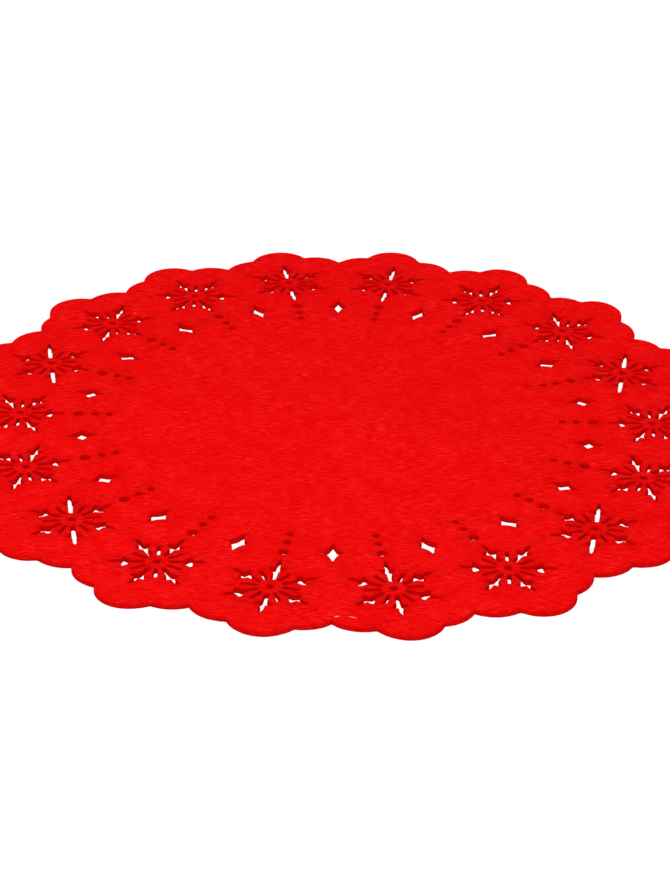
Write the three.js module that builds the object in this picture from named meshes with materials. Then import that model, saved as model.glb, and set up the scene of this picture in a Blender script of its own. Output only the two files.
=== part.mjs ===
// Round felt placemat, lying flat. Millimetres, +Z up, the origin at the middle of its underside.
// It is one die-cut sheet of thick felt: a scalloped rim, a ring of cut-out snowflakes, a diamond
// between each two of them, and a row of three round holes that runs inward from every snowflake.
import * as THREE from "three";

// Sheet, with one snowflake on the +X axis and the others evenly round from it
const THICKNESS = 3;
const REPEATS = 18;
const REPEAT_ANGLE = 360 / REPEATS;
const FELT_RED = 0xe4090d;
const FELT_ROUGHNESS = 0.95;

// Rim: three round lobes to a repeat, the large one over the snowflake. The angle in degrees is
// counted from the snowflake's radius, and the distance runs from the mat's centre to the lobe's.
const LOBES = [
  { angle: -5.5, distance: 165.6, radius: 16.7 },
  { angle: 0.6, distance: 174.9, radius: 15.5 },
  { angle: 5.6, distance: 165.1, radius: 16.9 },
];
const LOBE_STEPS = 6;

// Snowflake: arms and petals in turn round its centre, one arm pointing straight out to the rim.
// Each row of a profile is a place along the cut, from the snowflake's centre, and half its width.
const SNOWFLAKE_RING = 152.5;
const SNOWFLAKE_ARMS = 6;
const ARM_ANGLE = 360 / SNOWFLAKE_ARMS;
const ARM_PROFILE = [
  { along: 5.3, half: 1.15 },
  { along: 11.1, half: 1.5 },
  { along: 15.0, half: 4.15 },
  { along: 15.7, half: 1.35 },
  { along: 21.3, half: 0.75 },
];
const PETAL_PROFILE = [
  { along: 5.3, half: 0 },
  { along: 6.4, half: 1.2 },
  { along: 12.3, half: 1.25 },
  { along: 13.4, half: 0 },
];

// Diamond with slightly hollow sides, midway between two snowflakes, its long way along the radius
const DIAMOND_RING = 122.2;
const DIAMOND_LENGTH = 14.6;
const DIAMOND_WIDTH = 10.3;
const DIAMOND_HOLLOW = 0.6;

// Round holes on each snowflake's radius, smaller towards the middle of the mat
const DOTS = [
  { ring: 124.2, diameter: 5.0, sides: 8 },
  { ring: 116.1, diameter: 3.8, sides: 6 },
  { ring: 109.3, diameter: 3.5, sides: 6 },
];

const radians = THREE.MathUtils.degToRad;

// The point at a distance and an angle in degrees from the origin.
function polar(distance, angle) {
  return new THREE.Vector2(
    distance * Math.cos(radians(angle)),
    distance * Math.sin(radians(angle)),
  );
}

// Points of an outline moved along +X by offset and then turned about the origin by angle degrees.
function placed(points, offset, angle) {
  const origin = new THREE.Vector2();
  return points.map((p) =>
    new THREE.Vector2(p.x + offset, p.y).rotateAround(origin, radians(angle)),
  );
}

// The outer one of the two points where neighbouring lobes cross, going counter-clockwise.
function crossing(lobe, next) {
  const between = next.centre.clone().sub(lobe.centre);
  const apart = between.length();
  const reach =
    (apart ** 2 + lobe.radius ** 2 - next.radius ** 2) / (2 * apart);
  const rise = Math.sqrt(lobe.radius ** 2 - reach ** 2);
  const along = between.normalize();
  const outward = new THREE.Vector2(along.y, -along.x);
  return lobe.centre
    .clone()
    .addScaledVector(along, reach)
    .addScaledVector(outward, rise);
}

// The scalloped rim, an arc for each lobe from one crossing to the next.
function rim() {
  const lobes = [];
  for (let repeat = 0; repeat < REPEATS; repeat += 1) {
    for (const { angle, distance, radius } of LOBES) {
      const centre = polar(distance, angle + repeat * REPEAT_ANGLE);
      lobes.push({ centre, radius });
    }
  }
  return lobes.flatMap((lobe, i) => {
    const before = lobes.at(i - 1);
    const after = lobes[(i + 1) % lobes.length];
    const start = crossing(before, lobe).sub(lobe.centre);
    const end = crossing(lobe, after).sub(lobe.centre);
    const sweep = THREE.MathUtils.euclideanModulo(
      end.angle() - start.angle(),
      2 * Math.PI,
    );
    return Array.from({ length: LOBE_STEPS }, (_, step) =>
      start
        .clone()
        .rotateAround(new THREE.Vector2(), (sweep * step) / LOBE_STEPS)
        .add(lobe.centre),
    );
  });
}

// A closed outline, alike on both sides of the X axis: out along one side and back along the other.
function mirrored(profile) {
  const out = profile.map(({ along, half }) => new THREE.Vector2(along, half));
  const back = profile
    .filter(({ half }) => half > 0)
    .map(({ along, half }) => new THREE.Vector2(along, -half))
    .reverse();
  return [...out, ...back];
}

// A snowflake's cuts, round its own centre.
function snowflake() {
  const arm = mirrored(ARM_PROFILE);
  const petal = mirrored(PETAL_PROFILE);
  const cuts = [];
  for (let i = 0; i < SNOWFLAKE_ARMS; i += 1) {
    cuts.push(placed(arm, 0, i * ARM_ANGLE));
    cuts.push(placed(petal, 0, (i + 0.5) * ARM_ANGLE));
  }
  return cuts;
}

// A diamond round its own centre, each side drawn in at its middle.
function diamond() {
  const tips = [
    new THREE.Vector2(DIAMOND_LENGTH / 2, 0),
    new THREE.Vector2(0, DIAMOND_WIDTH / 2),
    new THREE.Vector2(-DIAMOND_LENGTH / 2, 0),
    new THREE.Vector2(0, -DIAMOND_WIDTH / 2),
  ];
  return tips.flatMap((tip, i) => {
    const middle = tip.clone().lerp(tips[(i + 1) % tips.length], 0.5);
    middle.setLength(middle.length() - DIAMOND_HOLLOW);
    return [tip, middle];
  });
}

// A round hole about its own centre.
function dot({ diameter, sides }) {
  return Array.from({ length: sides }, (_, i) =>
    polar(diameter / 2, ((i + 0.5) * 360) / sides),
  );
}

// Every cut-out of the mat, repeat by repeat.
function cutouts() {
  const cuts = [];
  for (let repeat = 0; repeat < REPEATS; repeat += 1) {
    const angle = repeat * REPEAT_ANGLE;
    for (const cut of snowflake()) {
      cuts.push(placed(cut, SNOWFLAKE_RING, angle));
    }
    for (const hole of DOTS) {
      cuts.push(placed(dot(hole), hole.ring, angle));
    }
    cuts.push(placed(diamond(), DIAMOND_RING, angle + REPEAT_ANGLE / 2));
  }
  return cuts;
}

const outline = new THREE.Shape(rim());
outline.holes = cutouts().map((points) => new THREE.Path(points));

const mat = new THREE.Mesh(
  new THREE.ExtrudeGeometry(outline, {
    depth: THICKNESS,
    bevelEnabled: false,
  }),
  new THREE.MeshStandardMaterial({
    color: FELT_RED,
    roughness: FELT_ROUGHNESS,
    metalness: 0,
  }),
);
mat.name = "mat";

const group = new THREE.Group();
group.add(mat);

export default group;
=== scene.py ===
"""A round red felt placemat on a pale table: one die-cut sheet of thick felt and its loose fibres.

Metres, +Z up. The mat's underside rests on z = 0 and one snowflake is on the +X axis.
"""

import logging
import math
from collections.abc import Iterable, Sequence
from dataclasses import dataclass, field
from enum import Enum

import bpy
import numpy as np
from mathutils import Matrix, Vector


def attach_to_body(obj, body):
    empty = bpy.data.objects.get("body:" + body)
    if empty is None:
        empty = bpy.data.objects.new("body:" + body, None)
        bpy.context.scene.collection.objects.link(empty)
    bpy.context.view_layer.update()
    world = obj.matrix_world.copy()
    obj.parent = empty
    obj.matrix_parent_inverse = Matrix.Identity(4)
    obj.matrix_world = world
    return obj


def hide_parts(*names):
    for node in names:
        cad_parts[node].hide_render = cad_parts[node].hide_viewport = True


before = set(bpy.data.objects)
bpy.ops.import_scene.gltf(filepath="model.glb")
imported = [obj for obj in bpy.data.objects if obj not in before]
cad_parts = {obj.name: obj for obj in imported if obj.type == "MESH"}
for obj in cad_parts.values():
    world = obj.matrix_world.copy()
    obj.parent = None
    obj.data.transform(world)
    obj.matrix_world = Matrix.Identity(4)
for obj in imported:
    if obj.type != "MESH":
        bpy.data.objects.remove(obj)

MM = 0.001
MAT_NODE = "mat"
BODY = "root"
# The next two names carry painted shade: one marks the cut walls, the other the felt beside the cuts.
CUT_EDGE = "cut_edge"
SHADE_BESIDE_CUTS = "pressed"
TONE = "tone"
OUTWARD = "out"

log = logging.getLogger("placemat")

Socket = bpy.types.NodeSocket
Object = bpy.types.Object
Material = bpy.types.Material
Colour = tuple[float, float, float]


class SocketKind(Enum):
    """The kinds of named inputs and outputs that the node trees have."""

    GEOMETRY = "NodeSocketGeometry"
    OBJECT = "NodeSocketObject"
    MATERIAL = "NodeSocketMaterial"
    NUMBER = "NodeSocketFloat"
    COUNT = "NodeSocketInt"
    VECTOR = "NodeSocketVector"


def live(sockets: Iterable[Socket], name: str) -> Socket:
    """Finds the socket of that name that the node's options leave in use.

    Args:
        sockets: A node's inputs or outputs.
        name: The socket's name.

    Returns:
        The first one in use.
    """
    return next(s for s in sockets if s.name == name and s.enabled)


class NodeTree:
    """A node tree that is being wired up."""

    def __init__(self, tree: bpy.types.NodeTree) -> None:
        """Starts from an empty tree."""
        self.tree = tree

    def feed(self, socket: Socket, value: object) -> None:
        """Links a socket to another one, or sets it to a plain value."""
        if isinstance(value, bpy.types.NodeSocket):
            self.tree.links.new(value, socket)
        else:
            socket.default_value = value

    def add(self, kind: str, feeds: dict[str, object] | None = None, **options: object) -> bpy.types.Node:
        """Adds one node.

        Args:
            kind: The node's type.
            feeds: What goes into its inputs by name, as sockets or plain values.
            options: The node's own settings.

        Returns:
            The new node.
        """
        node = self.tree.nodes.new(kind)
        for name, value in options.items():
            setattr(node, name, value)
        for name, value in (feeds or {}).items():
            self.feed(live(node.inputs, name), value)
        return node

    def made(
        self, output: str, kind: str, feeds: dict[str, object] | None = None, **options: object
    ) -> Socket:
        """Adds one node and returns its output of that name."""
        return live(self.add(kind, feeds, **options).outputs, output)

    def maths(self, operation: str, *values: object) -> Socket:
        """Adds a Math node and returns its result."""
        return self.in_order("ShaderNodeMath", values, operation=operation).outputs[0]

    def in_order(self, kind: str, values: Iterable[object], **options: object) -> bpy.types.Node:
        """Adds one node and feeds its inputs from the first on."""
        node = self.add(kind, **options)
        for socket, value in zip(node.inputs, values, strict=False):
            self.feed(socket, value)
        return node

    def summed(self, values: Sequence[Socket]) -> Socket:
        """Adds values up."""
        total = values[0]
        for value in values[1:]:
            total = self.maths("ADD", total, value)
        return total

    def vector(self, operation: str, *values: object) -> Socket:
        """Adds a Vector Math node and returns its vector."""
        return self.in_order("ShaderNodeVectorMath", values, operation=operation).outputs["Vector"]

    def scaled(self, vector: Socket, factor: object) -> Socket:
        """Multiplies a vector by a number."""
        feeds = {"Vector": vector, "Scale": factor}
        return self.made("Vector", "ShaderNodeVectorMath", feeds, operation="SCALE")

    def split(self, vector: Socket) -> tuple[Socket, Socket, Socket]:
        """Takes a vector apart into x, y and z."""
        node = self.add("ShaderNodeSeparateXYZ", {"Vector": vector})
        return node.outputs["X"], node.outputs["Y"], node.outputs["Z"]

    def joined(self, x: object, y: object, z: object) -> Socket:
        """Makes a vector of three numbers."""
        return self.made("Vector", "ShaderNodeCombineXYZ", {"X": x, "Y": y, "Z": z})

    def ranged(self, value: Socket, low: float, high: float, start: float, end: float) -> Socket:
        """Maps low to high onto start to end, and holds the ends."""
        feeds = {"Value": value, "From Min": low, "From Max": high, "To Min": start, "To Max": end}
        return self.made("Result", "ShaderNodeMapRange", feeds)

    def blended(self, factor: Socket, first: object, second: object) -> Socket:
        """Mixes two colours, from the first at nought to the second at one."""
        feeds = {"Factor": factor, "A": first, "B": second}
        return self.made("Result", "ShaderNodeMix", feeds, data_type="RGBA")

    def noise(self, place: Socket, scale: float, detail: float, output: str = "Fac") -> Socket:
        """Adds a noise texture that reads the given place and returns its value or its colour."""
        return self.made(output, "ShaderNodeTexNoise", {"Vector": place, "Scale": scale, "Detail": detail})

    def wander(self, place: Socket, scale: float, detail: float) -> Socket:
        """A noise vector that swings round nought."""
        return self.vector("SUBTRACT", self.noise(place, scale, detail, "Color"), (0.5, 0.5, 0.5))


class GeometryTree(NodeTree):
    """A Geometry Nodes tree with named inputs, whose result becomes a plain mesh object."""

    def __init__(self, name: str) -> None:
        """Makes the empty tree.

        Args:
            name: The name of the tree and of the piece that it makes.
        """
        super().__init__(bpy.data.node_groups.new(name, "GeometryNodeTree"))
        self.name = name
        self.inlet = self.tree.nodes.new("NodeGroupInput")
        self.values: dict[str, object] = {}
        kind = SocketKind.GEOMETRY.value
        self.tree.interface.new_socket(name="Geometry", in_out="OUTPUT", socket_type=kind)

    def take(self, name: str, kind: SocketKind, value: object) -> Socket:
        """Adds a named input.

        Args:
            name: The input's name.
            kind: What it holds.
            value: What the modifier sets it to.

        Returns:
            The socket that gives it inside the tree.
        """
        item = self.tree.interface.new_socket(name=name, in_out="INPUT", socket_type=kind.value)
        self.values[item.identifier] = value
        return self.inlet.outputs[name]

    def size(self, name: str, millimetres: float) -> Socket:
        """Adds a named length, given in millimetres."""
        return self.take(name, SocketKind.NUMBER, millimetres * MM)

    def angle(self, name: str, degrees: float) -> Socket:
        """Adds a named angle, given in degrees."""
        return self.take(name, SocketKind.NUMBER, math.radians(degrees))

    def shape_of(self, name: str, source: Object) -> Socket:
        """Adds a named object input and returns that object's geometry."""
        taken = self.take(name, SocketKind.OBJECT, source)
        return self.made("Geometry", "GeometryNodeObjectInfo", {"Object": taken})

    def position(self) -> Socket:
        """The place of each point."""
        return self.made("Position", "GeometryNodeInputPosition")

    def normal(self) -> Socket:
        """The way that each face or point looks."""
        return self.made("Normal", "GeometryNodeInputNormal")

    def chance(self, low: object, high: object, seed: Socket, step: int = 0, kind: str = "FLOAT") -> Socket:
        """A random value for each point or instance, the same on each run, from the seed and a step."""
        feeds = {"Min": low, "Max": high, "Seed": self.maths("ADD", seed, step)}
        return self.made("Value", "FunctionNodeRandomValue", feeds, data_type=kind)

    def moved(self, shape: Socket, offset: Socket) -> Socket:
        """Moves a shape's points by an offset."""
        return self.made("Geometry", "GeometryNodeSetPosition", {"Geometry": shape, "Offset": offset})

    def put_at(self, shape: Socket, place: Socket) -> Socket:
        """Puts a shape's points at a place."""
        return self.made("Geometry", "GeometryNodeSetPosition", {"Geometry": shape, "Position": place})

    def together(self, *shapes: Socket) -> Socket:
        """Joins shapes into one."""
        node = self.add("GeometryNodeJoinGeometry")
        for shape in reversed(shapes):
            self.tree.links.new(shape, node.inputs["Geometry"])
        return node.outputs["Geometry"]

    def turned(self, angle: Socket) -> Socket:
        """A turn about the Z axis."""
        feeds = {"Axis": (0.0, 0.0, 1.0), "Angle": angle}
        return self.made("Rotation", "FunctionNodeAxisAngleToRotation", feeds)

    def real(self, shape: Socket) -> Socket:
        """Makes instances real."""
        return self.made("Geometry", "GeometryNodeRealizeInstances", {"Geometry": shape})

    def copies(self, points: Socket, shape: Socket, turn: Socket, size: object = (1.0, 1.0, 1.0)) -> Socket:
        """Puts a turned and sized copy of a shape on each point."""
        feeds = {"Points": points, "Instance": shape, "Rotation": turn, "Scale": size}
        return self.made("Instances", "GeometryNodeInstanceOnPoints", feeds)

    def scattered(self, feeds: dict[str, object], method: str = "RANDOM") -> Socket:
        """Scatters points over a mesh's faces."""
        return self.made("Points", "GeometryNodeDistributePointsOnFaces", feeds, distribute_method=method)

    def without(self, shape: Socket, unwanted: Socket) -> Socket:
        """Deletes the unwanted points."""
        feeds = {"Geometry": shape, "Selection": unwanted}
        return self.made("Geometry", "GeometryNodeDeleteGeometry", feeds, domain="POINT")

    def kept(self, shape: Socket, name: str, value: Socket, domain: str, kind: str = "FLOAT") -> Socket:
        """Keeps a value with the shape under a name, for later nodes and the material."""
        feeds = {"Geometry": shape, "Name": name, "Value": value}
        options = {"domain": domain, "data_type": kind}
        return self.made("Geometry", "GeometryNodeStoreNamedAttribute", feeds, **options)

    def recall(self, name: str, kind: str = "FLOAT") -> Socket:
        """Reads a value that was kept under a name."""
        return self.made("Attribute", "GeometryNodeInputNamedAttribute", {"Name": name}, data_type=kind)

    def grow(self, shape: Socket, material: Material) -> Object:
        """Ends the tree and turns its result into a plain mesh.

        Args:
            shape: The finished geometry.
            material: The finish that all of it gets.

        Returns:
            The mesh object, with no modifier left on it.
        """
        smooth = self.made("Geometry", "GeometryNodeSetShadeSmooth", {"Geometry": self.real(shape)})
        finish = self.take("Finish", SocketKind.MATERIAL, material)
        feeds = {"Geometry": smooth, "Material": finish}
        self.add("NodeGroupOutput", {"Geometry": self.made("Geometry", "GeometryNodeSetMaterial", feeds)})

        piece = new_object(self.name, bpy.data.meshes.new(self.name))
        modifier = piece.modifiers.new(self.name, "NODES")
        modifier.node_group = self.tree
        for identifier, value in self.values.items():
            modifier[identifier] = value
        graph = bpy.context.evaluated_depsgraph_get()
        mesh = bpy.data.meshes.new_from_object(
            piece.evaluated_get(graph), preserve_all_data_layers=True, depsgraph=graph
        )
        piece.modifiers.remove(modifier)
        piece.data = mesh
        mesh.name = self.name
        return piece


def new_object(name: str, data: bpy.types.ID) -> Object:
    """Makes an object and puts it in the scene."""
    thing = bpy.data.objects.new(name, data)
    bpy.context.scene.collection.objects.link(thing)
    return thing


def curve_object(name: str, lines: Sequence[np.ndarray], closed: bool) -> Object:
    """Makes an object of straight-sided curves for a node tree to read.

    Args:
        name: The object's name.
        lines: The points of each curve, in millimetres.
        closed: Whether each curve ends where it starts.

    Returns:
        The curve object.
    """
    data = bpy.data.curves.new(name, "CURVE")
    data.dimensions = "3D"
    for line in lines:
        spline = data.splines.new("POLY")
        spline.points.add(len(line) - 1)
        places = np.zeros((len(line), 4))
        places[:, :2] = np.asarray(line) * MM
        places[:, 3] = 1
        spline.points.foreach_set("co", places.ravel())
        spline.use_cyclic_u = closed
    return new_object(name, data)


def polar(distance: float, angle: float) -> np.ndarray:
    """The point at a distance and an angle in degrees from the middle."""
    turn = math.radians(angle)
    return np.array([distance * math.cos(turn), distance * math.sin(turn)])


def placed(points: np.ndarray, out: float, angle: float) -> np.ndarray:
    """Moves points out along +X and then turns them about the middle by an angle in degrees."""
    turn = math.radians(angle)
    spin = np.array([[math.cos(turn), math.sin(turn)], [-math.sin(turn), math.cos(turn)]])
    return (points + [out, 0.0]) @ spin


def clockwise(loop: np.ndarray) -> np.ndarray:
    """Gives a closed outline its clockwise order."""
    ahead = np.roll(loop, -1, axis=0)
    area = (loop[:, 0] * ahead[:, 1] - ahead[:, 0] * loop[:, 1]).sum()
    return loop[::-1] if area > 0 else loop


@dataclass(frozen=True)
class Corner:
    """A corner of a cut: its place along the cut, half the width there, and how round it is."""

    along: float
    half: float
    radius: float


@dataclass(frozen=True)
class Blade:
    """How finely the cutting lines are divided, in millimetres and degrees."""

    straight: float = 1.5
    arc: float = 0.9
    bend: float = 42.0
    corner_share: float = 0.48
    least_sides: int = 10

    def outline(self, corners: Sequence[Corner]) -> np.ndarray:
        """Draws a closed line with rounded corners.

        Args:
            corners: The corners in order, with half as the sideways place.

        Returns:
            The line's points.
        """
        points: list[np.ndarray] = []
        spots = [np.array([c.along, c.half]) for c in corners]
        for i, corner in enumerate(corners):
            into = spots[i] - spots[i - 1]
            away = spots[(i + 1) % len(spots)] - spots[i]
            a, b = into / np.linalg.norm(into), away / np.linalg.norm(away)
            turn = math.atan2(a[0] * b[1] - a[1] * b[0], a @ b)
            half_turn = math.tan(abs(turn) / 2)
            shorter = min(np.linalg.norm(into), np.linalg.norm(away))
            back = min(corner.radius * half_turn, self.corner_share * shorter)
            radius = back / max(half_turn, 1e-6)
            start = spots[i] - a * back
            centre = start + math.copysign(radius, turn) * np.array([-a[1], a[0]])
            by_length = math.ceil(abs(turn) * radius / self.arc)
            steps = max(1, by_length, round(abs(math.degrees(turn)) / self.bend))
            for step in range(steps + 1):
                angle = turn * step / steps
                c, s = math.cos(angle), math.sin(angle)
                points.append(centre + np.array([[c, -s], [s, c]]) @ (start - centre))
        return self.divided(np.array(points))

    def divided(self, loop: np.ndarray) -> np.ndarray:
        """Divides the long straight stretches of a closed line."""
        points: list[np.ndarray] = []
        for here, ahead in zip(loop, np.roll(loop, -1, axis=0), strict=True):
            parts = max(1, round(float(np.linalg.norm(ahead - here)) / self.straight))
            points += [here + (ahead - here) * k / parts for k in range(parts)]
        return np.array(points)

    def mirrored(self, profile: Sequence[Corner]) -> np.ndarray:
        """Draws a cut that is alike on both sides of its length."""
        back = [Corner(c.along, -c.half, c.radius) for c in reversed(profile) if c.half > 0]
        return self.outline([*profile, *back])

    def circle(self, diameter: float) -> np.ndarray:
        """Draws a round hole about its own middle."""
        sides = max(self.least_sides, round(math.pi * diameter / self.arc))
        return np.array([polar(diameter / 2, 360 * i / sides) for i in range(sides)])


@dataclass(frozen=True)
class RoundHole:
    """A round hole: the ring it is on and how wide it is."""

    ring: float
    diameter: float


@dataclass(frozen=True)
class CutPattern:
    """The cuts of one repeat of the border, in millimetres."""

    snowflake_ring: float = 152.5
    snowflake_arms: int = 6
    heart_hole: float = 3.75
    arm: tuple[Corner, ...] = (
        Corner(5.3, 1.2, 0.95),
        Corner(11.8, 1.17, 1.3),
        Corner(12.9, 2.85, 1.5),
        Corner(15.3, 4.4, 0.75),
        Corner(15.85, 1.0, 0.5),
        Corner(19.4, 1.13, 2.1),
        Corner(22.35, 0.0, 0.32),
    )
    petal: tuple[Corner, ...] = (
        Corner(5.25, 1.1, 1.0),
        Corner(9.2, 0.93, 6.0),
        Corner(13.15, 1.08, 1.0),
    )
    diamond_ring: float = 122.2
    diamond_length: float = 15.4
    diamond_width: float = 9.5
    diamond_hollow: float = 1.0
    diamond_tip: float = 0.25
    diamond_bend: float = 8.0
    dots: tuple[RoundHole, ...] = (
        RoundHole(124.2, 5.0),
        RoundHole(116.1, 3.75),
        RoundHole(109.3, 3.5),
    )

    def diamond(self, blade: Blade) -> np.ndarray:
        """Draws a diamond with slightly hollow sides and barely rounded tips."""
        tips = [polar(self.diamond_length / 2, 0), polar(self.diamond_width / 2, 90)]
        tips += [-tips[0], -tips[1]]
        corners = []
        for tip, ahead in zip(tips, [*tips[1:], tips[0]], strict=True):
            middle = (tip + ahead) / 2
            middle = middle * (1 - self.diamond_hollow / np.linalg.norm(middle))
            corners += [Corner(*tip, self.diamond_tip), Corner(*middle, self.diamond_bend)]
        return blade.outline(corners)

    def loops(self, blade: Blade, repeat_angle: float) -> list[np.ndarray]:
        """Draws every cut of one repeat.

        Args:
            blade: How finely to draw.
            repeat_angle: The angle of one repeat, in degrees.

        Returns:
            The closed cutting lines, clockwise.
        """
        step = 360 / self.snowflake_arms
        arm, petal = blade.mirrored(self.arm), blade.mirrored(self.petal)
        loops = [placed(blade.circle(self.heart_hole), self.snowflake_ring, 0)]
        for i in range(self.snowflake_arms):
            loops.append(placed(placed(arm, 0, i * step), self.snowflake_ring, 0))
            loops.append(placed(placed(petal, 0, (i + 0.5) * step), self.snowflake_ring, 0))
        loops += [placed(blade.circle(dot.diameter), dot.ring, 0) for dot in self.dots]
        loops.append(placed(self.diamond(blade), self.diamond_ring, repeat_angle / 2))
        return [clockwise(loop) for loop in loops]


@dataclass(frozen=True)
class Lobe:
    """A round lobe of the rim: its angle from the snowflake, its middle's distance, its radius."""

    angle: float
    distance: float
    radius: float


@dataclass(frozen=True)
class ScallopedRim:
    """The rim's lobes over one repeat, and how much of a notch is its own and its neighbours'."""

    lobes: tuple[Lobe, ...] = (
        Lobe(-5.5, 165.6, 16.7),
        Lobe(0.6, 174.9, 15.5),
        Lobe(5.6, 165.1, 16.9),
    )
    steps: int = 20
    notch: tuple[float, float] = (0.55, 0.45)

    def line(self, repeats: int) -> np.ndarray:
        """Draws the whole rim, counter-clockwise.

        Args:
            repeats: How many times the lobes go round.

        Returns:
            The rim's points.
        """
        lobes = [
            (polar(lobe.distance, lobe.angle + 360 * i / repeats), lobe.radius)
            for i in range(repeats)
            for lobe in self.lobes
        ]
        meets = [crossing(*lobes[i - 1], *lobes[i]) for i in range(len(lobes))]
        points: list[np.ndarray] = []
        for i, (centre, radius) in enumerate(lobes):
            start, end = meets[i] - centre, meets[(i + 1) % len(meets)] - centre
            first = math.atan2(start[1], start[0])
            sweep = (math.atan2(end[1], end[0]) - first) % (2 * math.pi)
            for step in range(self.steps):
                angle = math.degrees(first + sweep * step / self.steps)
                points.append(centre + polar(radius, angle))
        line = np.array(points)
        notches = slice(None, None, self.steps)
        beside = (np.roll(line, 1, axis=0) + np.roll(line, -1, axis=0)) / 2
        line[notches] = self.notch[0] * line[notches] + self.notch[1] * beside[notches]
        return line


def crossing(centre: np.ndarray, radius: float, other: np.ndarray, other_radius: float) -> np.ndarray:
    """Finds where a lobe meets the next one round the rim, on the outside.

    Args:
        centre: The lobe's middle.
        radius: The lobe's radius.
        other: The next lobe's middle.
        other_radius: The next lobe's radius.

    Returns:
        The outer point where the two circles cross.
    """
    apart = float(np.linalg.norm(other - centre))
    along = (other - centre) / apart
    reach = (apart**2 + radius**2 - other_radius**2) / (2 * apart)
    rise = math.sqrt(radius**2 - reach**2)
    return centre + along * reach + np.array([along[1], -along[0]]) * rise


@dataclass(frozen=True)
class Streaks:
    """A layer of streaks: their direction in degrees, length and width in millimetres, and contrast."""

    direction: float
    length: float
    width: float
    contrast: float


class FibrePattern:
    """A shader group of fine streaks, as fibres lying in one direction make them."""

    NAME = "fibre_streaks"
    SIZES = ("Direction", "Length", "Width", "Contrast")

    def __init__(self) -> None:
        """Builds the group once."""
        self.tree = bpy.data.node_groups.new(self.NAME, "ShaderNodeTree")
        number = SocketKind.NUMBER.value
        sockets = [("Place", "INPUT", SocketKind.VECTOR.value)]
        sockets += [(name, "INPUT", number) for name in self.SIZES]
        for name, side, kind in (*sockets, ("Streaks", "OUTPUT", number)):
            self.tree.interface.new_socket(name=name, in_out=side, socket_type=kind)
        wiring = NodeTree(self.tree)
        inlet = self.tree.nodes.new("NodeGroupInput").outputs
        feeds = {"Vector": inlet["Place"], "Angle": inlet["Direction"]}
        turned = wiring.made("Vector", "ShaderNodeVectorRotate", feeds, rotation_type="Z_AXIS")
        size = wiring.joined(inlet["Length"], inlet["Width"], inlet["Width"])
        noise = wiring.noise(wiring.vector("DIVIDE", turned, size), 1.0, 2.0)
        swing = wiring.maths("MULTIPLY", wiring.maths("SUBTRACT", noise, 0.5), inlet["Contrast"])
        wiring.add("NodeGroupOutput", {"Streaks": swing})

    def put(self, wiring: NodeTree, place: Socket, streaks: Streaks) -> Socket:
        """Places the group in a material.

        Args:
            wiring: The material's tree.
            place: The coordinates that the streaks follow.
            streaks: The layer.

        Returns:
            The streaks, which swing round nought.
        """
        sizes = (math.radians(streaks.direction), streaks.length * MM, streaks.width * MM, streaks.contrast)
        feeds = {"Place": place, **dict(zip(self.SIZES, sizes, strict=True))}
        return wiring.made("Streaks", "ShaderNodeGroup", feeds, node_tree=self.tree)


def matte_material(name: str, roughness: float = 0.9) -> tuple[Material, NodeTree, bpy.types.Node]:
    """Makes a material with no gloss.

    Args:
        name: The material's name.
        roughness: How rough it is.

    Returns:
        The material, its tree and its surface shader.
    """
    material = bpy.data.materials.new(name)
    material.use_nodes = True
    shader = material.node_tree.nodes["Principled BSDF"]
    shader.inputs["Roughness"].default_value = roughness
    shader.inputs["Specular IOR Level"].default_value = 0.0
    return material, NodeTree(material.node_tree), shader


def colour_ramp(wiring: NodeTree, tone: Socket, stops: Sequence[tuple[float, Colour]]) -> Socket:
    """Turns a tone into a colour.

    Args:
        wiring: The material's tree.
        tone: The tone, from 0 to 1.
        stops: The places and colours of the ramp, in order.

    Returns:
        The colour.
    """
    ramp = wiring.add("ShaderNodeValToRGB", {"Fac": tone})
    elements = ramp.color_ramp.elements
    while len(elements) < len(stops):
        elements.new(0.5)
    for element, (place, colour) in zip(elements, stops, strict=True):
        element.position = place
        element.color = (*colour, 1.0)
    return ramp.outputs["Color"]


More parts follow.
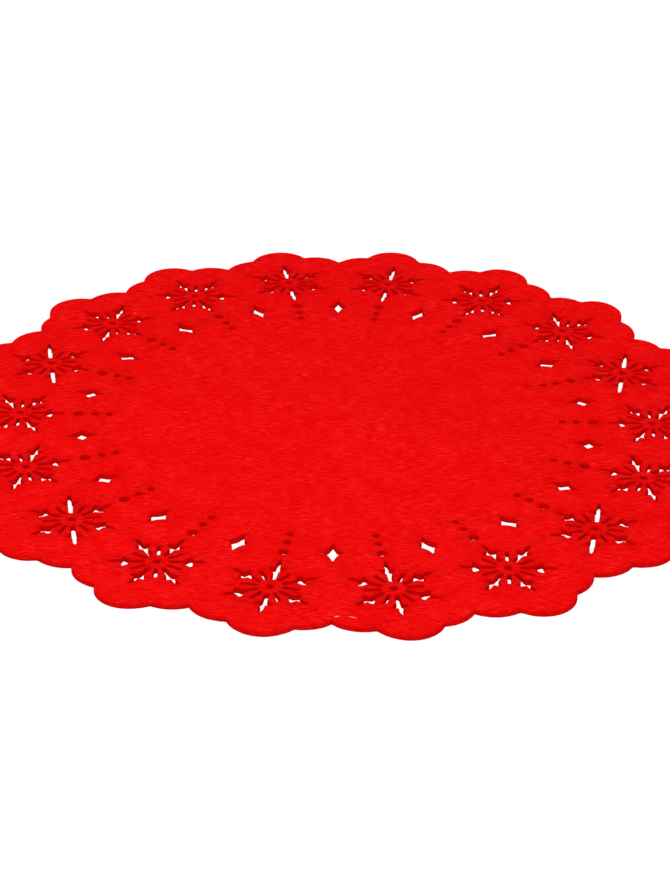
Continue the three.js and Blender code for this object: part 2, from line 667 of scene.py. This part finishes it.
@dataclass(frozen=True)
class FeltFinish:
    """Matte needle-punched felt: mottled red with fine fibres matted into it, in millimetres, with painted
    shade on the cut walls and beside the cuts and painted light low on the walls.
    """

    tones: tuple[tuple[float, Colour], ...] = (
        (0.0, (0.555, 0.0001, 0.0002)),
        (0.25, (0.625, 0.0006, 0.0008)),
        (0.5, (0.68, 0.0021, 0.0023)),
        (0.75, (0.785, 0.0077, 0.0079)),
        (1.0, (0.88, 0.0195, 0.0195)),
    )
    # Painted shade: the colour of the cut walls, darker than the face.
    cut: Colour = (0.62, 0.0009, 0.0009)
    # Painted light: the lighter colour low on the cut walls, standing in for light from the pale table.
    wall_foot_painted_light: Colour = (0.78, 0.0014, 0.0014)
    layers: tuple[Streaks, ...] = (
        Streaks(3.0, 5.0, 0.50, 1.1),
        Streaks(-11.0, 3.6, 0.40, 0.72),
        Streaks(15.0, 3.0, 0.40, 0.55),
        Streaks(80.0, 1.6, 0.50, 0.25),
    )
    matted: tuple[Streaks, ...] = (
        Streaks(38.0, 1.5, 0.13, 0.5),
        Streaks(-42.0, 1.5, 0.13, 0.5),
        Streaks(8.0, 2.0, 0.14, 0.6),
        Streaks(85.0, 1.2, 0.13, 0.4),
    )
    patch: float = 16.0
    patch_range: tuple[float, float] = (0.3, 0.7)
    patch_shares: tuple[float, float] = (0.6, 1.4)
    mottle: float = 9.0
    mottling: float = 0.30
    hair_share: float = 0.5
    tone_reach: float = 0.45
    roughness: float = 0.95
    sheen: float = 0.05
    sheen_roughness: float = 0.6
    sheen_tint: Colour = (1.0, 0.03, 0.03)
    bump: float = 0.095
    streak_bump: float = 0.6
    # Painted shade: how much darker the felt beside the cuts is painted.
    pressed: float = 0.12
    wall_depths: tuple[float, float] = (0.5, 2.2)

    def material(self, pattern: FibrePattern) -> Material:
        """Builds the material.

        Args:
            pattern: The shared streaks.

        Returns:
            The felt's material.
        """
        material, wiring, shader = matte_material("red_felt", self.roughness)
        place = wiring.made("Object", "ShaderNodeTexCoord")
        streaks, hairs = (
            wiring.summed([pattern.put(wiring, place, layer) for layer in group])
            for group in (self.layers, self.matted)
        )
        patches = wiring.noise(place, 1 / (self.patch * MM), 1.0)
        share = wiring.ranged(patches, *self.patch_range, *self.patch_shares)
        brushed = wiring.maths("MULTIPLY", streaks, share)
        mottle = wiring.noise(place, 1 / (self.mottle * MM), 3.0)
        swing = wiring.maths("SUBTRACT", mottle, 0.5)
        mottled = wiring.maths("MULTIPLY_ADD", swing, self.mottling, brushed)
        mixed = wiring.maths("MULTIPLY_ADD", hairs, self.hair_share, mottled)
        tone = wiring.ranged(mixed, -self.tone_reach, self.tone_reach, 0.0, 1.0)
        # The felt beside the cuts is darkened as painted shade; the cut walls get the wall colours below.
        pressed, cut = (
            wiring.made("Fac", "ShaderNodeAttribute", attribute_name=name) for name in (SHADE_BESIDE_CUTS, CUT_EDGE)
        )
        shade = wiring.ranged(pressed, 0.0, 1.0, 1.0, 1.0 - self.pressed)
        face = wiring.scaled(colour_ramp(wiring, tone, self.tones), shade)
        bottom, top = (height * MM for height in self.wall_depths)
        # Painted shade on the cut walls, turning into painted light towards their bottom.
        depth = wiring.ranged(wiring.split(place)[2], bottom, top, 0.0, 1.0)
        wall = wiring.blended(depth, (*self.wall_foot_painted_light, 1.0), (*self.cut, 1.0))
        # The cut walls take the painted-shade wall colour in place of the face's colour.
        wiring.feed(shader.inputs["Base Color"], wiring.blended(cut, face, wall))
        height = wiring.maths("MULTIPLY_ADD", streaks, self.streak_bump, hairs)
        feeds = {"Height": height, "Strength": 1.0, "Distance": self.bump * MM}
        wiring.feed(shader.inputs["Normal"], wiring.made("Normal", "ShaderNodeBump", feeds))
        shader.inputs["Sheen Weight"].default_value = self.sheen
        shader.inputs["Sheen Roughness"].default_value = self.sheen_roughness
        shader.inputs["Sheen Tint"].default_value = (*self.sheen_tint, 1.0)
        return material


@dataclass(frozen=True)
class EdgeSection:
    """How a cut edge is shaped in section: how far it stands out past the cutting line, by depth."""

    reach: tuple[float, ...]
    depth: tuple[float, ...]

    def points(self, thickness: float) -> np.ndarray:
        """Draws the section from the top face to the underside.

        Args:
            thickness: The felt's thickness, in millimetres.

        Returns:
            The section's points, with x away from the felt and y down from its middle.
        """
        return np.column_stack([self.reach, np.array(self.depth) - thickness / 2])


@dataclass(frozen=True)
class RimLift:
    """A stretch of the rim that has curled up a little from the table."""

    direction: float
    spread: float
    height: float


@dataclass(frozen=True)
class Facets:
    """Small facets that divide the sheet's face, at some distance from its cuts and rim."""

    name: str
    spacing: float
    size: float
    nearest: float
    farthest: float
    density: float
    seed: int


@dataclass
class FeltSheet:
    """The mat itself: one sheet of felt with its rim and all its cuts, in millimetres."""

    finish: Material
    thickness: float = 3.0
    repeats: int = 18
    pattern: CutPattern = field(default_factory=CutPattern)
    rim: ScallopedRim = field(default_factory=ScallopedRim)
    blade: Blade = field(default_factory=Blade)
    cut_section: EdgeSection = EdgeSection(
        reach=(-0.24, -0.14, 0.0, 0.08, 0.18, 0.21, -0.24),
        depth=(0.0, 0.02, 0.09, 0.30, 1.2, 2.9, 3.0),
    )
    rim_section: EdgeSection = EdgeSection(
        reach=(-0.70, -0.48, -0.14, 0.15, 0.30, 0.36, -0.70),
        depth=(0.0, 0.0, 0.10, 0.36, 0.85, 2.85, 3.0),
    )
    facets: tuple[Facets, ...] = (
        Facets("Open", 6.5, 0.9, 3.4, 400.0, 90000.0, 5),
        Facets("Beside cuts", 2.3, 0.25, 0.8, 2.1, 400000.0, 8),
    )
    join_distance: float = 0.004
    # Painted shade: which slopes count as cut walls, how wide the darkened band beside the cuts is, and how
    # much fainter both are at the rim.
    wall_slopes: tuple[float, float] = (0.35, 0.95)
    shade_beside_cuts_width: float = 1.7
    rim_zone: tuple[float, float] = (174.5, 177.0)
    rim_painted_shade_share: float = 0.36
    unevenness: float = 0.16
    uneven_every: float = 2.2
    lifts: tuple[RimLift, ...] = (
        RimLift(40.0, 62.0, 2.5),
        RimLift(88.0, 26.0, 0.9),
        RimLift(259.2, 45.5, 2.39),
        RimLift(316.0, 20.0, 0.45),
    )
    lift_from: float = 158.4
    lift_full: float = 188.1
    lift_power: float = 1.5
    flat_size: tuple[float, float] = (0.3808, 0.3756)
    flat_area: float = 0.0967

    def curl(self, tree: GeometryTree) -> Socket:
        """Works out how far each point of the sheet has lifted off the table.

        Args:
            tree: The sheet's tree.

        Returns:
            The offset.
        """
        x, y, _ = tree.split(tree.position())
        bearing = tree.maths("ARCTAN2", y, x)
        total: Socket | float = 0.0
        for i, lift in enumerate(self.lifts, 1):
            direction = tree.angle(f"Lift {i} direction", lift.direction)
            spread = tree.angle(f"Lift {i} spread", lift.spread)
            height = tree.size(f"Lift {i} height", lift.height)
            apart = tree.maths("WRAP", tree.maths("SUBTRACT", bearing, direction), math.pi, -math.pi)
            share = tree.maths("MINIMUM", tree.maths("DIVIDE", tree.maths("ABSOLUTE", apart), spread), 1.0)
            wave = tree.maths("COSINE", tree.maths("MULTIPLY", share, math.pi / 2))
            total = tree.maths("MULTIPLY_ADD", tree.maths("MULTIPLY", wave, wave), height, total)
        reach = tree.maths("SQRT", tree.maths("MULTIPLY_ADD", x, x, tree.maths("MULTIPLY", y, y)))
        ramp = tree.ranged(reach, self.lift_from * MM, self.lift_full * MM, 0.0, 1.0)
        rise = tree.maths("POWER", ramp, self.lift_power)
        return tree.joined(0.0, 0.0, tree.maths("MULTIPLY", rise, total))

    def edge_band(self, tree: GeometryTree, lines: Socket, profile: Socket) -> Socket:
        """Sweeps an edge section along cutting lines."""
        upright = tree.made("Curve", "GeometryNodeSetCurveNormal", {"Curve": lines}, mode="Z_UP")
        return tree.made("Mesh", "GeometryNodeCurveToMesh", {"Curve": upright, "Profile Curve": profile})

    def upper_lines(self, tree: GeometryTree, bands: Socket) -> Socket:
        """Takes the upper free edges of the swept bands.

        Args:
            tree: The sheet's tree.
            bands: The bands.

        Returns:
            The edges as curves.
        """
        faces = tree.made("Face Count", "GeometryNodeInputMeshEdgeNeighbors")
        feeds = {"A": faces, "B": 1}
        free = tree.made("Result", "FunctionNodeCompare", feeds, data_type="INT", operation="EQUAL")
        upper = tree.maths("GREATER_THAN", tree.split(tree.position())[2], 0.0)
        both = tree.in_order("FunctionNodeBooleanMath", (free, upper), operation="AND").outputs[0]
        return tree.made("Curve", "GeometryNodeMeshToCurve", {"Mesh": bands, "Selection": both})

    def to_edge(self, tree: GeometryTree, lines: Socket) -> Socket:
        """Measures how far each point is from the nearest edge, seen from above.

        Args:
            tree: The sheet's tree.
            lines: The lines of the cuts and the rim.

        Returns:
            The distance.
        """
        flat = tree.made("Geometry", "GeometryNodeTransform", {"Geometry": lines, "Scale": (1.0, 1.0, 0.0)})
        wire = tree.made("Mesh", "GeometryNodeCurveToMesh", {"Curve": flat})
        x, y, _ = tree.split(tree.position())
        feeds = {"Geometry": wire, "Sample Position": tree.joined(x, y, 0.0)}
        return tree.made("Distance", "GeometryNodeProximity", feeds, target_element="EDGES")

    def spread(self, tree: GeometryTree, facets: Facets, plain: Socket, near: Socket) -> Socket:
        """Spreads one group of small facets over the sheet.

        Args:
            tree: The sheet's tree.
            facets: The group.
            plain: The sheet's face with nothing but its outlines.
            near: How far each point is from the nearest edge.

        Returns:
            The facets as a mesh.
        """
        spacing, size, nearest, farthest = (
            tree.size(f"{facets.name} {name}", getattr(facets, name))
            for name in ("spacing", "size", "nearest", "farthest")
        )
        seed = tree.take(f"{facets.name} seed", SocketKind.COUNT, facets.seed)
        feeds = {"Mesh": plain, "Distance Min": spacing, "Density Max": facets.density, "Seed": seed}
        points = tree.scattered(feeds, "POISSON")
        too_near, too_far = tree.maths("LESS_THAN", near, nearest), tree.maths("GREATER_THAN", near, farthest)
        clear = tree.without(points, tree.maths("MAXIMUM", too_near, too_far))
        feeds = {"Vertices": 3, "Radius": size}
        facet = tree.made("Mesh", "GeometryNodeMeshCircle", feeds, fill_type="NGON")
        spin = tree.turned(tree.chance(0.0, 2 * math.pi, seed))
        return tree.real(tree.copies(clear, facet, spin))

    def filling(self, tree: GeometryTree, lines: Socket, near: Socket) -> tuple[Socket, Socket]:
        """Divides the sheet's face evenly with small facets, and more finely beside the cuts.

        Args:
            tree: The sheet's tree.
            lines: The closed lines round the face and its holes.
            near: How far each point is from the nearest edge.

        Returns:
            The facets, and their outlines as curves.
        """
        plain = self.filled(tree, lines)
        real = tree.together(*(self.spread(tree, facets, plain, near) for facets in self.facets))
        return real, tree.made("Curve", "GeometryNodeMeshToCurve", {"Mesh": real})

    def filled(self, tree: GeometryTree, lines: Socket) -> Socket:
        """Fills closed lines with triangles, but not the holes in them."""
        return tree.made("Mesh", "GeometryNodeFillCurve", {"Curve": lines}, mode="TRIANGLES")

    def ring_of_cuts(self, tree: GeometryTree, one: Socket) -> Socket:
        """Repeats the cuts of one repeat all round the mat.

        Args:
            tree: The sheet's tree.
            one: The cuts of one repeat.

        Returns:
            All the cuts.
        """
        repeats = tree.take("Repeats", SocketKind.COUNT, self.repeats)
        places = tree.made("Points", "GeometryNodePoints", {"Count": repeats})
        index = tree.made("Index", "GeometryNodeInputIndex")
        angle = tree.maths("DIVIDE", tree.maths("MULTIPLY", index, 2 * math.pi), repeats)
        return tree.real(tree.copies(places, one, tree.turned(angle)))

    def marked(self, tree: GeometryTree, shape: Socket, near: Socket) -> Socket:
        """Marks where shade is painted: on the cut walls and on the felt beside the cuts, both fainter at the
        rim.

        Args:
            tree: The sheet's tree.
            shape: The closed sheet.
            near: How far each point is from the nearest edge.

        Returns:
            The sheet with both marks kept.
        """
        # Painted shade marks: walls by their slope, and felt beside the cuts by its distance to an edge.
        upright = tree.maths("ABSOLUTE", tree.split(tree.normal())[2])
        wall = tree.ranged(upright, *self.wall_slopes, 1.0, 0.0)
        reach = tree.made("Value", "ShaderNodeVectorMath", {"Vector": tree.position()}, operation="LENGTH")
        start, end = (edge * MM for edge in self.rim_zone)
        share = tree.ranged(reach, start, end, 1.0, self.rim_painted_shade_share)
        # Painted shade beside the cuts, strongest at the edge and gone by the band's width.
        beside = tree.ranged(near, 0.0, self.shade_beside_cuts_width * MM, 1.0, 0.0)
        for name, mark in ((CUT_EDGE, wall), (SHADE_BESIDE_CUTS, beside)):
            shape = tree.kept(shape, name, tree.maths("MULTIPLY", mark, share), "POINT")
        return shape

    def build(self) -> Object:
        """Cuts the sheet.

        Returns:
            The sheet as a closed mesh.
        """
        tree = GeometryTree("felt_sheet")
        guides = [
            curve_object("cuts_of_one_repeat", self.pattern.loops(self.blade, 360 / self.repeats), True),
            curve_object("rim_line", [self.rim.line(self.repeats)], True),
            curve_object("cut_section", [self.cut_section.points(self.thickness)], False),
            curve_object("rim_section", [self.rim_section.points(self.thickness)], False),
        ]
        one, rim, cut_section, rim_section = (
            tree.shape_of(name, guide)
            for name, guide in zip(("Cuts", "Rim", "Cut section", "Rim section"), guides, strict=True)
        )
        cuts = self.edge_band(tree, self.ring_of_cuts(tree, one), cut_section)
        bands = tree.together(cuts, self.edge_band(tree, rim, rim_section))
        lines = self.upper_lines(tree, bands)
        near = self.to_edge(tree, lines)
        facets, outlines = self.filling(tree, lines, near)
        face = tree.together(self.filled(tree, tree.together(lines, outlines)), facets)
        half = tree.maths("DIVIDE", tree.size("Thickness", self.thickness), 2.0)
        top = tree.moved(face, tree.joined(0.0, 0.0, half))
        under = tree.moved(face, tree.joined(0.0, 0.0, tree.maths("MULTIPLY", half, -1.0)))
        under = tree.made("Mesh", "GeometryNodeFlipFaces", {"Mesh": under})
        feeds = {"Geometry": tree.together(bands, top, under), "Distance": self.join_distance * MM}
        closed = tree.made("Geometry", "GeometryNodeMergeByDistance", feeds)
        rested = tree.moved(closed, tree.joined(0.0, 0.0, half))
        wander = tree.wander(tree.position(), 1 / (self.uneven_every * MM), 1.0)
        x, y, _ = tree.split(tree.scaled(wander, 2 * self.unevenness * MM))
        uneven = tree.moved(self.marked(tree, rested, near), tree.joined(x, y, 0.0))
        sheet = tree.grow(tree.moved(uneven, self.curl(tree)), self.finish)
        for guide in guides:
            bpy.data.objects.remove(guide)
        return sheet


class Lay(Enum):
    """Which face of the sheet a group of fibres grows from, and how."""

    FACE = "lying along the top face"
    CUT_EDGE = "standing out of the cut edges"


@dataclass(frozen=True)
class FibreFinish:
    """Loose felt fibres, each with its own tone of the dye."""

    name: str
    tones: tuple[tuple[float, Colour], ...]

    def material(self) -> Material:
        """Builds the material, which reads each fibre's tone."""
        material, wiring, shader = matte_material(self.name)
        tone = wiring.made("Fac", "ShaderNodeAttribute", attribute_name=TONE)
        wiring.feed(shader.inputs["Base Color"], colour_ramp(wiring, tone, self.tones))
        return material


DYED = FibreFinish(
    "dyed_fibre",
    ((0.0, (0.62, 0.0008, 0.0008)), (0.5, (0.74, 0.0050, 0.0050)), (1.0, (0.86, 0.0220, 0.0210))),
)
PALE = FibreFinish(
    "pale_fibre",
    (
        (0.0, (0.86, 0.014, 0.014)),
        (0.6, (0.90, 0.030, 0.028)),
        (0.985, (0.93, 0.080, 0.065)),
        (1.0, (0.97, 0.50, 0.43)),
    ),
)


@dataclass
class Fibres:
    """A group of loose fibres on the sheet, in millimetres and degrees."""

    name: str
    lay: Lay
    finish: Material
    density: float
    length: tuple[float, float]
    width: float
    wave: float
    direction: float = 3.0
    spread: float = 34.0
    sink: float = 0.0
    hump: float = 0.05
    hump_every: float = 1.7
    face_slope: float = 0.7
    wall_slope: float = 0.5
    middle: float = -0.5
    root: float = -0.08
    lean: float = 0.9
    lean_range: tuple[tuple[float, float, float], ...] = ((-1.0, -1.0, -0.8), (1.0, 1.0, 1.0))
    curls: float = 1.6
    unlike: float = 40.0
    joints: int = 5
    seed: int = 1

    def lying(self, tree: GeometryTree, felt: Socket, seed: Socket) -> Socket:
        """Lays strands along the top face, each following its rise and fall.

        Args:
            tree: The fibres' tree.
            felt: The sheet.
            seed: The seed for their places and tones.

        Returns:
            The strands as curves.
        """
        aside = tree.maths("ADD", tree.chance(-0.5, 0.5, seed, 1), tree.chance(-0.5, 0.5, seed, 2))
        spread = tree.maths("MULTIPLY", tree.angle("Spread", self.spread), 2.0)
        angle = tree.maths("MULTIPLY_ADD", aside, spread, tree.angle("Direction", self.direction))
        upward = tree.maths("GREATER_THAN", tree.split(tree.normal())[2], self.face_slope)
        strands = self.strands(tree, felt, seed, tree.turned(angle), self.middle, upward)
        hump = tree.noise(tree.position(), 1 / (self.hump_every * MM), 0.0)
        lift = tree.maths("MULTIPLY_ADD", hump, 2 * self.hump * MM, -(self.hump + self.sink) * MM)
        return tree.on_top(strands, felt, lift)

    def standing(self, tree: GeometryTree, felt: Socket, seed: Socket) -> Socket:
        """Stands strands out of the cut edges at odd angles.

        Args:
            tree: The fibres' tree.
            felt: The sheet.
            seed: The seed for their places and tones.

        Returns:
            The strands as curves.
        """
        odd = tree.chance(*self.lean_range, seed, 3, "FLOAT_VECTOR")
        out = tree.vector("ADD", tree.recall(OUTWARD, "FLOAT_VECTOR"), tree.scaled(odd, self.lean))
        aim = tree.made("Rotation", "FunctionNodeAlignRotationToVector", {"Vector": out}, axis="X")
        marked = tree.kept(felt, OUTWARD, tree.normal(), "FACE", "FLOAT_VECTOR")
        slope = tree.maths("ABSOLUTE", tree.split(tree.normal())[2])
        wall = tree.maths("LESS_THAN", slope, self.wall_slope)
        strands = self.strands(tree, marked, seed, aim, self.root, wall)
        x, y, z = tree.split(tree.position())
        return tree.put_at(strands, tree.joined(x, y, tree.maths("MAXIMUM", z, self.width * MM)))

    def strands(
        self, tree: GeometryTree, felt: Socket, seed: Socket, turn: Socket, start: float, wanted: Socket
    ) -> Socket:
        """Puts waved strands on the chosen faces.

        Args:
            tree: The fibres' tree.
            felt: The sheet.
            seed: The seed for their places and tones.
            turn: How each strand is turned.
            start: Where a strand starts, as a share of its length from its root.
            wanted: The faces that bear strands.

        Returns:
            The strands as curves.
        """
        density = tree.take("Density", SocketKind.NUMBER, self.density)
        feeds = {"Mesh": felt, "Selection": wanted, "Density": density, "Seed": seed}
        roots = tree.scattered(feeds)
        ends = {"Start": (start, 0.0, 0.0), "End": (start + 1.0, 0.0, 0.0)}
        line = tree.made("Curve", "GeometryNodeCurvePrimitiveLine", ends)
        feeds = {"Curve": line, "Count": tree.take("Joints", SocketKind.COUNT, self.joints)}
        strand = tree.made("Curve", "GeometryNodeResampleCurve", feeds)
        shortest, longest = (
            tree.size(name, length) for name, length in zip(("Shortest", "Longest"), self.length, strict=True)
        )
        length = tree.chance(shortest, longest, seed, 4)
        laid = tree.copies(roots, strand, turn, tree.joined(length, length, length))
        real = tree.real(tree.kept(laid, TONE, tree.chance(0.0, 1.0, seed, 5), "INSTANCE"))
        away = tree.maths("MULTIPLY", tree.recall(TONE), self.unlike)
        along = tree.scaled(tree.position(), 1 / (max(self.length) * MM))
        place = tree.vector("ADD", along, tree.joined(away, away, 0.0))
        wander = tree.wander(place, self.curls, 0.0)
        return tree.moved(real, tree.scaled(wander, tree.size("Wave", self.wave)))

    def build(self, sheet: Object) -> Object:
        """Grows the fibres.

        Args:
            sheet: The finished felt sheet.

        Returns:
            The fibres as one mesh.
        """
        tree = FibreTree(self.name)
        felt = tree.shape_of("Sheet", sheet)
        seed = tree.take("Seed", SocketKind.COUNT, self.seed)
        if self.lay is Lay.FACE:
            strands, off_middle = self.lying(tree, felt, seed), tree.off_middle()
        else:
            strands, off_middle = self.standing(tree, felt, seed), tree.along()
        return tree.grow(tree.hairs(strands, off_middle, self.width), self.finish)


class FibreTree(GeometryTree):
    """The fibres' tree, which lays strands on the felt and gives them their thickness."""

    ABOVE = 10 * MM
    RAY = 9.5 * MM
    TAPER_FROM = 0.35
    TIP_SHARE = 0.3

    def along(self) -> Socket:
        """How far along its strand each point is, from 0 to 1."""
        return self.made("Factor", "GeometryNodeSplineParameter")

    def off_middle(self) -> Socket:
        """How far from its strand's middle each point is, from 0 to 1."""
        return self.maths("ABSOLUTE", self.maths("MULTIPLY_ADD", self.along(), 2.0, -1.0))

    def on_top(self, strands: Socket, felt: Socket, lift: object) -> Socket:
        """Lowers strands onto the felt's top face, and drops the points that are over a hole.

        Args:
            strands: The strands as curves.
            felt: The sheet.
            lift: How far above the face each point ends, in metres.

        Returns:
            The strands as they lie.
        """
        x, y, _ = self.split(self.position())
        feeds = {"Target Geometry": felt, "Source Position": self.joined(x, y, self.ABOVE)}
        feeds |= {"Ray Direction": (0.0, 0.0, -1.0), "Ray Length": self.RAY}
        ray = self.add("GeometryNodeRaycast", feeds).outputs
        missed = self.add("FunctionNodeBooleanMath", {"Boolean": ray["Is Hit"]}, operation="NOT").outputs[0]
        place = self.vector("ADD", ray["Hit Position"], self.joined(0.0, 0.0, lift))
        return self.put_at(self.without(strands, missed), place)

    def hairs(self, strands: Socket, off_middle: Socket, width: float) -> Socket:
        """Gives strands their thickness, finer towards the tips.

        Args:
            strands: The strands as curves.
            off_middle: How far along to a tip each point is, from 0 to 1.
            width: The width in the middle, in millimetres.

        Returns:
            The closed hairs.
        """
        taper = self.ranged(off_middle, self.TAPER_FROM, 1.0, 1.0, self.TIP_SHARE)
        size = self.maths("MULTIPLY", taper, self.size("Width", width))
        ring = self.made("Curve", "GeometryNodeCurvePrimitiveCircle", {"Resolution": 3, "Radius": 0.5})
        feeds = {"Curve": strands, "Profile Curve": ring, "Scale": size, "Fill Caps": True}
        return self.made("Mesh", "GeometryNodeCurveToMesh", feeds)


@dataclass
class Lint:
    """A few pale hairs that lie on the top face near the front notch, in millimetres."""

    finish: Material
    lines: tuple[tuple[tuple[float, float], ...], ...] = (
        ((1.0, -174.9), (1.7, -174.4), (2.6, -174.1), (3.6, -173.6)),
        ((7.2, -174.0), (8.3, -174.2), (9.4, -174.8), (10.6, -175.2)),
    )
    width: float = 0.26
    tone: float = 1.0
    lift: float = 0.3

    def build(self, sheet: Object) -> Object:
        """Lays the hairs on the finished felt sheet."""
        tree = FibreTree("lint_hairs")
        guide = curve_object("lint_lines", [np.array(line) for line in self.lines], False)
        strands, felt = tree.shape_of("Lines", guide), tree.shape_of("Sheet", sheet)
        laid = tree.on_top(strands, felt, self.lift * self.width * MM)
        toned = tree.kept(laid, TONE, tree.take("Tone", SocketKind.NUMBER, self.tone), "POINT")
        hairs = tree.grow(tree.hairs(toned, tree.off_middle(), self.width), self.finish)
        bpy.data.objects.remove(guide)
        return hairs


@dataclass(frozen=True)
class PhotoCamera:
    """The camera's place in metres and its turns in degrees."""

    place: tuple[float, float, float] = (0.00273, -0.99664, 0.55067)
    to_the_right: float = -0.16681
    downward: float = 29.49102
    tilt: float = -0.90392
    lens: float = 94.99
    sensor: float = 36.0
    farthest: float = 50.0

    def build(self) -> Object:
        """Makes the scene's camera."""
        yaw, pitch, roll = (math.radians(a) for a in (self.to_the_right, self.downward, self.tilt))
        ahead = Vector((math.sin(yaw) * math.cos(pitch), math.cos(yaw) * math.cos(pitch), -math.sin(pitch)))
        level = Vector((math.cos(yaw), -math.sin(yaw), 0.0))
        below = ahead.cross(level)
        right = level * math.cos(roll) + below * math.sin(roll)
        down = below * math.cos(roll) - level * math.sin(roll)
        data = bpy.data.cameras.new("camera")
        data.lens = self.lens
        data.sensor_width = self.sensor
        data.clip_end = self.farthest
        camera = new_object("camera", data)
        turn = Matrix((right, -down, -ahead)).transposed()
        camera.matrix_world = Matrix.Translation(Vector(self.place)) @ turn.to_4x4()
        bpy.context.scene.camera = camera
        return camera


@dataclass(frozen=True)
class SoftLamp:
    """A large soft lamp: its place and size in metres, and how strong it is."""

    name: str
    place: tuple[float, float, float]
    size: float
    power: float


@dataclass(frozen=True)
class Studio:
    """A pale table top in an evenly lit studio."""

    table_radius: float = 4.0
    table_sides: int = 96
    table_grey: float = 0.80
    seen_white: float = 1.06
    sky: float = 0.715
    lamps: tuple[SoftLamp, ...] = (
        SoftLamp("overhead_lamp", (-0.10, -0.26, 0.80), 1.0, 5.0),
        SoftLamp("front_lamp", (0.0, -1.50, 1.70), 1.0, 3.0),
    )

    def table(self) -> Object:
        """Makes the table top, which the camera sees as plain white."""
        step = 360 / self.table_sides
        ring = [(*polar(self.table_radius, step * i), 0.0) for i in range(self.table_sides)]
        mesh = bpy.data.meshes.new("table_top")
        mesh.from_pydata(ring, [], [tuple(range(self.table_sides))])
        material, wiring, shader = matte_material("pale_table")
        shader.inputs["Base Color"].default_value = (*[self.table_grey] * 3, 1.0)
        bright = wiring.made("Emission", "ShaderNodeEmission", {"Strength": self.seen_white})
        shown = shown_apart(wiring, shader.outputs["BSDF"], bright)
        wiring.feed(material.node_tree.nodes["Material Output"].inputs["Surface"], shown)
        mesh.materials.append(material)
        return new_object("table_top", mesh)

    def surroundings(self) -> None:
        """Lights the scene from all round and hangs the soft lamps."""
        world = bpy.data.worlds.new("studio")
        world.use_nodes = True
        wiring = NodeTree(world.node_tree)
        world.node_tree.nodes.clear()
        around, white = (
            wiring.made("Background", "ShaderNodeBackground", {"Color": (1.0,) * 4, "Strength": strength})
            for strength in (self.sky, self.seen_white)
        )
        wiring.add("ShaderNodeOutputWorld", {"Surface": shown_apart(wiring, around, white)})
        bpy.context.scene.world = world
        for lamp in self.lamps:
            data = bpy.data.lights.new(lamp.name, "AREA")
            data.shape = "DISK"
            data.size = lamp.size
            data.energy = lamp.power
            light = new_object(lamp.name, data)
            light.location = lamp.place
            light.rotation_euler = (-Vector(lamp.place)).to_track_quat("-Z", "Y").to_euler()

    def build(self) -> Object:
        """Sets up the light and the colours and returns the table top."""
        bpy.context.scene.view_settings.view_transform = "Standard"
        self.surroundings()
        return self.table()


def shown_apart(wiring: NodeTree, plain: Socket, seen: Socket) -> Socket:
    """Shows the camera one shader and every other ray another.

    Args:
        wiring: The tree.
        plain: What all other rays meet.
        seen: What the camera sees.

    Returns:
        The shader for both.
    """
    camera = wiring.made("Is Camera Ray", "ShaderNodeLightPath")
    return wiring.in_order("ShaderNodeMixShader", (camera, plain, seen)).outputs[0]


def attach(piece: Object) -> None:
    """Lets a piece ride on the mat's body, and reports it."""
    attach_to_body(piece, BODY)
    piece.data.calc_loop_triangles()
    log.info("%s: %d triangles", piece.name, len(piece.data.loop_triangles))


def main() -> None:
    """Builds the camera, the studio, the mat and its fibres."""
    logging.basicConfig(level=logging.INFO, format="%(asctime)s %(name)s %(message)s")
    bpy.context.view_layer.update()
    PhotoCamera().build()
    Studio().build()

    design = FeltSheet(FeltFinish().material(FibrePattern()))
    sheet = design.build()
    dyed, pale = DYED.material(), PALE.material()
    groups = [
        Fibres(
            "face_fibres", Lay.FACE, dyed, density=70000.0, length=(3.0, 7.0), width=0.11, wave=0.9,
            sink=0.03, seed=11,
        ),
        Fibres(
            "edge_fibres", Lay.CUT_EDGE, dyed, density=440000.0, length=(0.5, 1.7), width=0.05, wave=0.5,
            joints=3, seed=23,
        ),
        Fibres(
            "short_fibres", Lay.FACE, dyed, density=90000.0, length=(0.9, 2.4), width=0.09, wave=0.8,
            spread=70.0, sink=-0.01, joints=4, seed=47,
        ),
        Fibres(
            "pale_flecks", Lay.FACE, pale, density=5000.0, length=(0.6, 2.2), width=0.14, wave=0.5,
            sink=0.03, joints=4, seed=31,
        ),
    ]
    fibres = [group.build(sheet) for group in (*groups, Lint(pale))]
    for piece in (sheet, *fibres):
        attach(piece)
    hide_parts(MAT_NODE)


if __name__ == "__main__":
    main()
